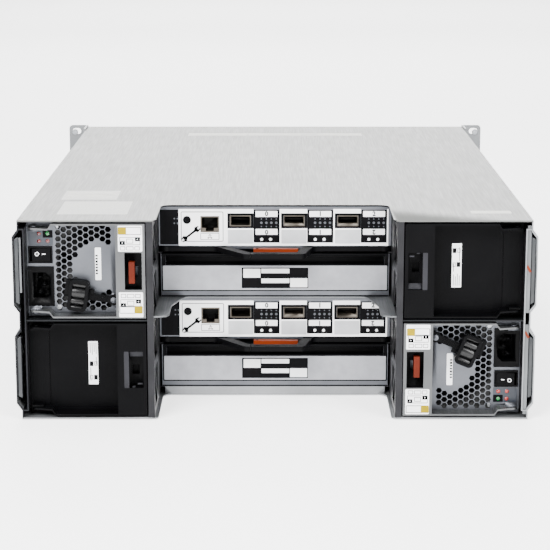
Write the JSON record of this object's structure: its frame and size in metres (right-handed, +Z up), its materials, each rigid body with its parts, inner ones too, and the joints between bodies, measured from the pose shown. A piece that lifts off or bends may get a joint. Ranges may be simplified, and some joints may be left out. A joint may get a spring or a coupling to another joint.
{
  "type": "disk shelf enclosure",
  "caption": "Rack-mount 4U disk shelf with a recessed rear: power cooling modules and I/O modules with their fillers at the back, drive carriers in front.",
  "frame": {"origin": "centre of the underside of the chassis", "axes": "+X to the right seen from the rear, +Y from the rear to the drives in front, +Z up"},
  "size_m": [0.4826, 0.6, 0.177],
  "materials": {
    "zinc_sheet": "satin",
    "cover_sheet": "satin",
    "ear_paint": "satin",
    "module_case": "satin",
    "bail_metal": "satin",
    "blank_sheet": "satin",
    "port_metal": "satin",
    "black_moulding": "matt",
    "fan_plastic": "matt",
    "orange_moulding": "satin",
    "carrier_body": "satin",
    "circuit_board": "satin"
  },
  "bodies": {
    "chassis": {"chassis_base": "zinc_sheet", "top_cover": "cover_sheet", "bay_partition_left": "zinc_sheet", "bay_partition_right": "zinc_sheet", "module_shelves": "zinc_sheet", "midplane_board": "circuit_board", "drive_cage": "zinc_sheet", "rack_ears": "ear_paint"},
    "carrier_c1_r1": {"drive_carrier_c1_r1": "carrier_body"},
    "carrier_c1_r2": {"drive_carrier_c1_r2": "carrier_body"},
    "carrier_c1_r3": {"drive_carrier_c1_r3": "carrier_body"},
    "carrier_c1_r4": {"drive_carrier_c1_r4": "carrier_body"},
    "carrier_c1_r5": {"drive_carrier_c1_r5": "carrier_body"},
    "carrier_c1_r6": {"drive_carrier_c1_r6": "carrier_body"},
    "carrier_c2_r1": {"drive_carrier_c2_r1": "carrier_body"},
    "carrier_c2_r2": {"drive_carrier_c2_r2": "carrier_body"},
    "carrier_c2_r3": {"drive_carrier_c2_r3": "carrier_body"},
    "carrier_c2_r4": {"drive_carrier_c2_r4": "carrier_body"},
    "carrier_c2_r5": {"drive_carrier_c2_r5": "carrier_body"},
    "carrier_c2_r6": {"drive_carrier_c2_r6": "carrier_body"},
    "carrier_c3_r1": {"drive_carrier_c3_r1": "carrier_body"},
    "carrier_c3_r2": {"drive_carrier_c3_r2": "carrier_body"},
    "carrier_c3_r3": {"drive_carrier_c3_r3": "carrier_body"},
    "carrier_c3_r4": {"drive_carrier_c3_r4": "carrier_body"},
    "carrier_c3_r5": {"drive_carrier_c3_r5": "carrier_body"},
    "carrier_c3_r6": {"drive_carrier_c3_r6": "carrier_body"},
    "carrier_c4_r1": {"drive_carrier_c4_r1": "carrier_body"},
    "carrier_c4_r2": {"drive_carrier_c4_r2": "carrier_body"},
    "carrier_c4_r3": {"drive_carrier_c4_r3": "carrier_body"},
    "carrier_c4_r4": {"drive_carrier_c4_r4": "carrier_body"},
    "carrier_c4_r5": {"drive_carrier_c4_r5": "carrier_body"},
    "carrier_c4_r6": {"drive_carrier_c4_r6": "carrier_body"},
    "pcm_upper": {"pcm_upper_casing": "module_case"},
    "pcm_upper_rocker": {"pcm_upper_rocker": "black_moulding"},
    "pcm_upper_handle": {"pcm_upper_handle": "bail_metal"},
    "pcm_upper_latch": {"pcm_upper_latch": "orange_moulding"},
    "pcm_upper_fan": {"pcm_upper_fan": "fan_plastic"},
    "pcm_upper_cord_clip": {"pcm_upper_cord_clip": "black_moulding"},
    "pcm_filler_upper": {"filler_upper_body": "black_moulding"},
    "pcm_filler_upper_handle": {"filler_upper_handle": "black_moulding"},
    "iom_upper": {"iom_upper_canister": "module_case", "iom_upper_ports": "port_metal"},
    "iom_upper_lever_left": {"iom_upper_lever_left": "black_moulding"},
    "iom_upper_lever_right": {"iom_upper_lever_right": "black_moulding"},
    "iom_upper_trigger": {"iom_upper_trigger": "orange_moulding"},
    "io_filler_upper": {"io_filler_upper": "blank_sheet"},
    "pcm_lower": {"pcm_lower_casing": "module_case"},
    "pcm_lower_rocker": {"pcm_lower_rocker": "black_moulding"},
    "pcm_lower_handle": {"pcm_lower_handle": "bail_metal"},
    "pcm_lower_latch": {"pcm_lower_latch": "orange_moulding"},
    "pcm_lower_fan": {"pcm_lower_fan": "fan_plastic"},
    "pcm_lower_cord_clip": {"pcm_lower_cord_clip": "black_moulding"},
    "pcm_filler_lower": {"filler_lower_body": "black_moulding"},
    "pcm_filler_lower_handle": {"filler_lower_handle": "black_moulding"},
    "iom_lower": {"iom_lower_canister": "module_case", "iom_lower_ports": "port_metal"},
    "iom_lower_lever_left": {"iom_lower_lever_left": "black_moulding"},
    "iom_lower_lever_right": {"iom_lower_lever_right": "black_moulding"},
    "iom_lower_trigger": {"iom_lower_trigger": "orange_moulding"},
    "io_filler_lower": {"io_filler_lower": "blank_sheet"}
  },
  "joints": [
    {"name": "slide_carrier_c1_r1", "type": "slide", "parent": "chassis", "child": "carrier_c1_r1", "axis": [0, 1, 0], "range_m": [0, 0.225]},
    {"name": "slide_carrier_c1_r2", "type": "slide", "parent": "chassis", "child": "carrier_c1_r2", "axis": [0, 1, 0], "range_m": [0, 0.225]},
    {"name": "slide_carrier_c1_r3", "type": "slide", "parent": "chassis", "child": "carrier_c1_r3", "axis": [0, 1, 0], "range_m": [0, 0.225]},
    {"name": "slide_carrier_c1_r4", "type": "slide", "parent": "chassis", "child": "carrier_c1_r4", "axis": [0, 1, 0], "range_m": [0, 0.225]},
    {"name": "slide_carrier_c1_r5", "type": "slide", "parent": "chassis", "child": "carrier_c1_r5", "axis": [0, 1, 0], "range_m": [0, 0.225]},
    {"name": "slide_carrier_c1_r6", "type": "slide", "parent": "chassis", "child": "carrier_c1_r6", "axis": [0, 1, 0], "range_m": [0, 0.225]},
    {"name": "slide_carrier_c2_r1", "type": "slide", "parent": "chassis", "child": "carrier_c2_r1", "axis": [0, 1, 0], "range_m": [0, 0.225]},
    {"name": "slide_carrier_c2_r2", "type": "slide", "parent": "chassis", "child": "carrier_c2_r2", "axis": [0, 1, 0], "range_m": [0, 0.225]},
    {"name": "slide_carrier_c2_r3", "type": "slide", "parent": "chassis", "child": "carrier_c2_r3", "axis": [0, 1, 0], "range_m": [0, 0.225]},
    {"name": "slide_carrier_c2_r4", "type": "slide", "parent": "chassis", "child": "carrier_c2_r4", "axis": [0, 1, 0], "range_m": [0, 0.225]},
    {"name": "slide_carrier_c2_r5", "type": "slide", "parent": "chassis", "child": "carrier_c2_r5", "axis": [0, 1, 0], "range_m": [0, 0.225]},
    {"name": "slide_carrier_c2_r6", "type": "slide", "parent": "chassis", "child": "carrier_c2_r6", "axis": [0, 1, 0], "range_m": [0, 0.225]},
    {"name": "slide_carrier_c3_r1", "type": "slide", "parent": "chassis", "child": "carrier_c3_r1", "axis": [0, 1, 0], "range_m": [0, 0.225]},
    {"name": "slide_carrier_c3_r2", "type": "slide", "parent": "chassis", "child": "carrier_c3_r2", "axis": [0, 1, 0], "range_m": [0, 0.225]},
    {"name": "slide_carrier_c3_r3", "type": "slide", "parent": "chassis", "child": "carrier_c3_r3", "axis": [0, 1, 0], "range_m": [0, 0.225]},
    {"name": "slide_carrier_c3_r4", "type": "slide", "parent": "chassis", "child": "carrier_c3_r4", "axis": [0, 1, 0], "range_m": [0, 0.225]},
    {"name": "slide_carrier_c3_r5", "type": "slide", "parent": "chassis", "child": "carrier_c3_r5", "axis": [0, 1, 0], "range_m": [0, 0.225]},
    {"name": "slide_carrier_c3_r6", "type": "slide", "parent": "chassis", "child": "carrier_c3_r6", "axis": [0, 1, 0], "range_m": [0, 0.225]},
    {"name": "slide_carrier_c4_r1", "type": "slide", "parent": "chassis", "child": "carrier_c4_r1", "axis": [0, 1, 0], "range_m": [0, 0.225]},
    {"name": "slide_carrier_c4_r2", "type": "slide", "parent": "chassis", "child": "carrier_c4_r2", "axis": [0, 1, 0], "range_m": [0, 0.225]},
    {"name": "slide_carrier_c4_r3", "type": "slide", "parent": "chassis", "child": "carrier_c4_r3", "axis": [0, 1, 0], "range_m": [0, 0.225]},
    {"name": "slide_carrier_c4_r4", "type": "slide", "parent": "chassis", "child": "carrier_c4_r4", "axis": [0, 1, 0], "range_m": [0, 0.225]},
    {"name": "slide_carrier_c4_r5", "type": "slide", "parent": "chassis", "child": "carrier_c4_r5", "axis": [0, 1, 0], "range_m": [0, 0.225]},
    {"name": "slide_carrier_c4_r6", "type": "slide", "parent": "chassis", "child": "carrier_c4_r6", "axis": [0, 1, 0], "range_m": [0, 0.225]},
    {"name": "slide_pcm_upper", "type": "slide", "parent": "chassis", "child": "pcm_upper", "axis": [0, -1, 0], "range_m": [0, 0.37]},
    {"name": "hinge_pcm_upper_handle", "type": "hinge", "parent": "pcm_upper", "child": "pcm_upper_handle", "pos_m": [-0.206, -0.291, 0.13095], "axis": [0, 0, -1], "range_deg": [0, 75]},
    {"name": "slide_pcm_upper_latch", "type": "slide", "parent": "pcm_upper_handle", "child": "pcm_upper_latch", "axis": [1, 0, 0], "range_m": [0, 0.0035], "stiffness_N_per_m": 250},
    {"name": "hinge_pcm_upper_rocker", "type": "hinge", "parent": "pcm_upper", "child": "pcm_upper_rocker", "pos_m": [-0.2013, -0.2813, 0.1426], "axis": [0, 0, -1], "range_deg": [0, 16]},
    {"name": "spin_pcm_upper_fan", "type": "hinge", "parent": "pcm_upper", "child": "pcm_upper_fan", "pos_m": [-0.1507, -0.265, 0.1315], "axis": [0, 1, 0], "continuous": true},
    {"name": "hinge_pcm_upper_cord_clip", "type": "hinge", "parent": "pcm_upper", "child": "pcm_upper_cord_clip", "pos_m": [-0.1387, -0.29, 0.104], "axis": [0, 1, 0], "range_deg": [-4, 44]},
    {"name": "slide_pcm_filler_upper", "type": "slide", "parent": "chassis", "child": "pcm_filler_upper", "axis": [0, -1, 0], "range_m": [0, 0.15]},
    {"name": "hinge_pcm_filler_upper_handle", "type": "hinge", "parent": "pcm_filler_upper", "child": "pcm_filler_upper_handle", "pos_m": [0.206, -0.291, 0.13095], "axis": [0, 0, 1], "range_deg": [0, 75]},
    {"name": "slide_iom_upper", "type": "slide", "parent": "chassis", "child": "iom_upper", "axis": [0, -1, 0], "range_m": [0, 0.37]},
    {"name": "hinge_iom_upper_lever_left", "type": "hinge", "parent": "iom_upper", "child": "iom_upper_lever_left", "pos_m": [-0.098, -0.2197, 0.1351], "axis": [0, 0, -1], "range_deg": [0, 60]},
    {"name": "hinge_iom_upper_lever_right", "type": "hinge", "parent": "iom_upper", "child": "iom_upper_lever_right", "pos_m": [0.098, -0.2197, 0.1351], "axis": [0, 0, 1], "range_deg": [0, 60]},
    {"name": "hinge_iom_upper_trigger", "type": "hinge", "parent": "iom_upper_lever_right", "child": "iom_upper_trigger", "pos_m": [-0.016, -0.237, 0.1362], "axis": [0, 0, -1], "range_deg": [0, 5], "stiffness_Nm_per_rad": 0.2},
    {"name": "slide_io_filler_upper", "type": "slide", "parent": "chassis", "child": "io_filler_upper", "axis": [0, -1, 0], "range_m": [0, 0.19]},
    {"name": "slide_pcm_lower", "type": "slide", "parent": "chassis", "child": "pcm_lower", "axis": [0, -1, 0], "range_m": [0, 0.37]},
    {"name": "hinge_pcm_lower_handle", "type": "hinge", "parent": "pcm_lower", "child": "pcm_lower_handle", "pos_m": [0.206, -0.291, 0.04405], "axis": [0, 0, 1], "range_deg": [0, 75]},
    {"name": "slide_pcm_lower_latch", "type": "slide", "parent": "pcm_lower_handle", "child": "pcm_lower_latch", "axis": [-1, 0, 0], "range_m": [0, 0.0035], "stiffness_N_per_m": 250},
    {"name": "hinge_pcm_lower_rocker", "type": "hinge", "parent": "pcm_lower", "child": "pcm_lower_rocker", "pos_m": [0.2013, -0.2813, 0.0324], "axis": [0, 0, 1], "range_deg": [0, 16]},
    {"name": "spin_pcm_lower_fan", "type": "hinge", "parent": "pcm_lower", "child": "pcm_lower_fan", "pos_m": [0.1507, -0.265, 0.0435], "axis": [0, 1, 0], "continuous": true},
    {"name": "hinge_pcm_lower_cord_clip", "type": "hinge", "parent": "pcm_lower", "child": "pcm_lower_cord_clip", "pos_m": [0.1387, -0.29, 0.071], "axis": [0, 1, 0], "range_deg": [-18, 30]},
    {"name": "slide_pcm_filler_lower", "type": "slide", "parent": "chassis", "child": "pcm_filler_lower", "axis": [0, -1, 0], "range_m": [0, 0.15]},
    {"name": "hinge_pcm_filler_lower_handle", "type": "hinge", "parent": "pcm_filler_lower", "child": "pcm_filler_lower_handle", "pos_m": [-0.206, -0.291, 0.04405], "axis": [0, 0, -1], "range_deg": [0, 75]},
    {"name": "slide_iom_lower", "type": "slide", "parent": "chassis", "child": "iom_lower", "axis": [0, -1, 0], "range_m": [0, 0.37]},
    {"name": "hinge_iom_lower_lever_left", "type": "hinge", "parent": "iom_lower", "child": "iom_lower_lever_left", "pos_m": [-0.098, -0.2197, 0.0516], "axis": [0, 0, -1], "range_deg": [0, 60]},
    {"name": "hinge_iom_lower_lever_right", "type": "hinge", "parent": "iom_lower", "child": "iom_lower_lever_right", "pos_m": [0.098, -0.2197, 0.0516], "axis": [0, 0, 1], "range_deg": [0, 60]},
    {"name": "hinge_iom_lower_trigger", "type": "hinge", "parent": "iom_lower_lever_right", "child": "iom_lower_trigger", "pos_m": [-0.016, -0.237, 0.0527], "axis": [0, 0, -1], "range_deg": [0, 5], "stiffness_Nm_per_rad": 0.2},
    {"name": "slide_io_filler_lower", "type": "slide", "parent": "chassis", "child": "io_filler_lower", "axis": [0, -1, 0], "range_m": [0, 0.19]}
  ]
}
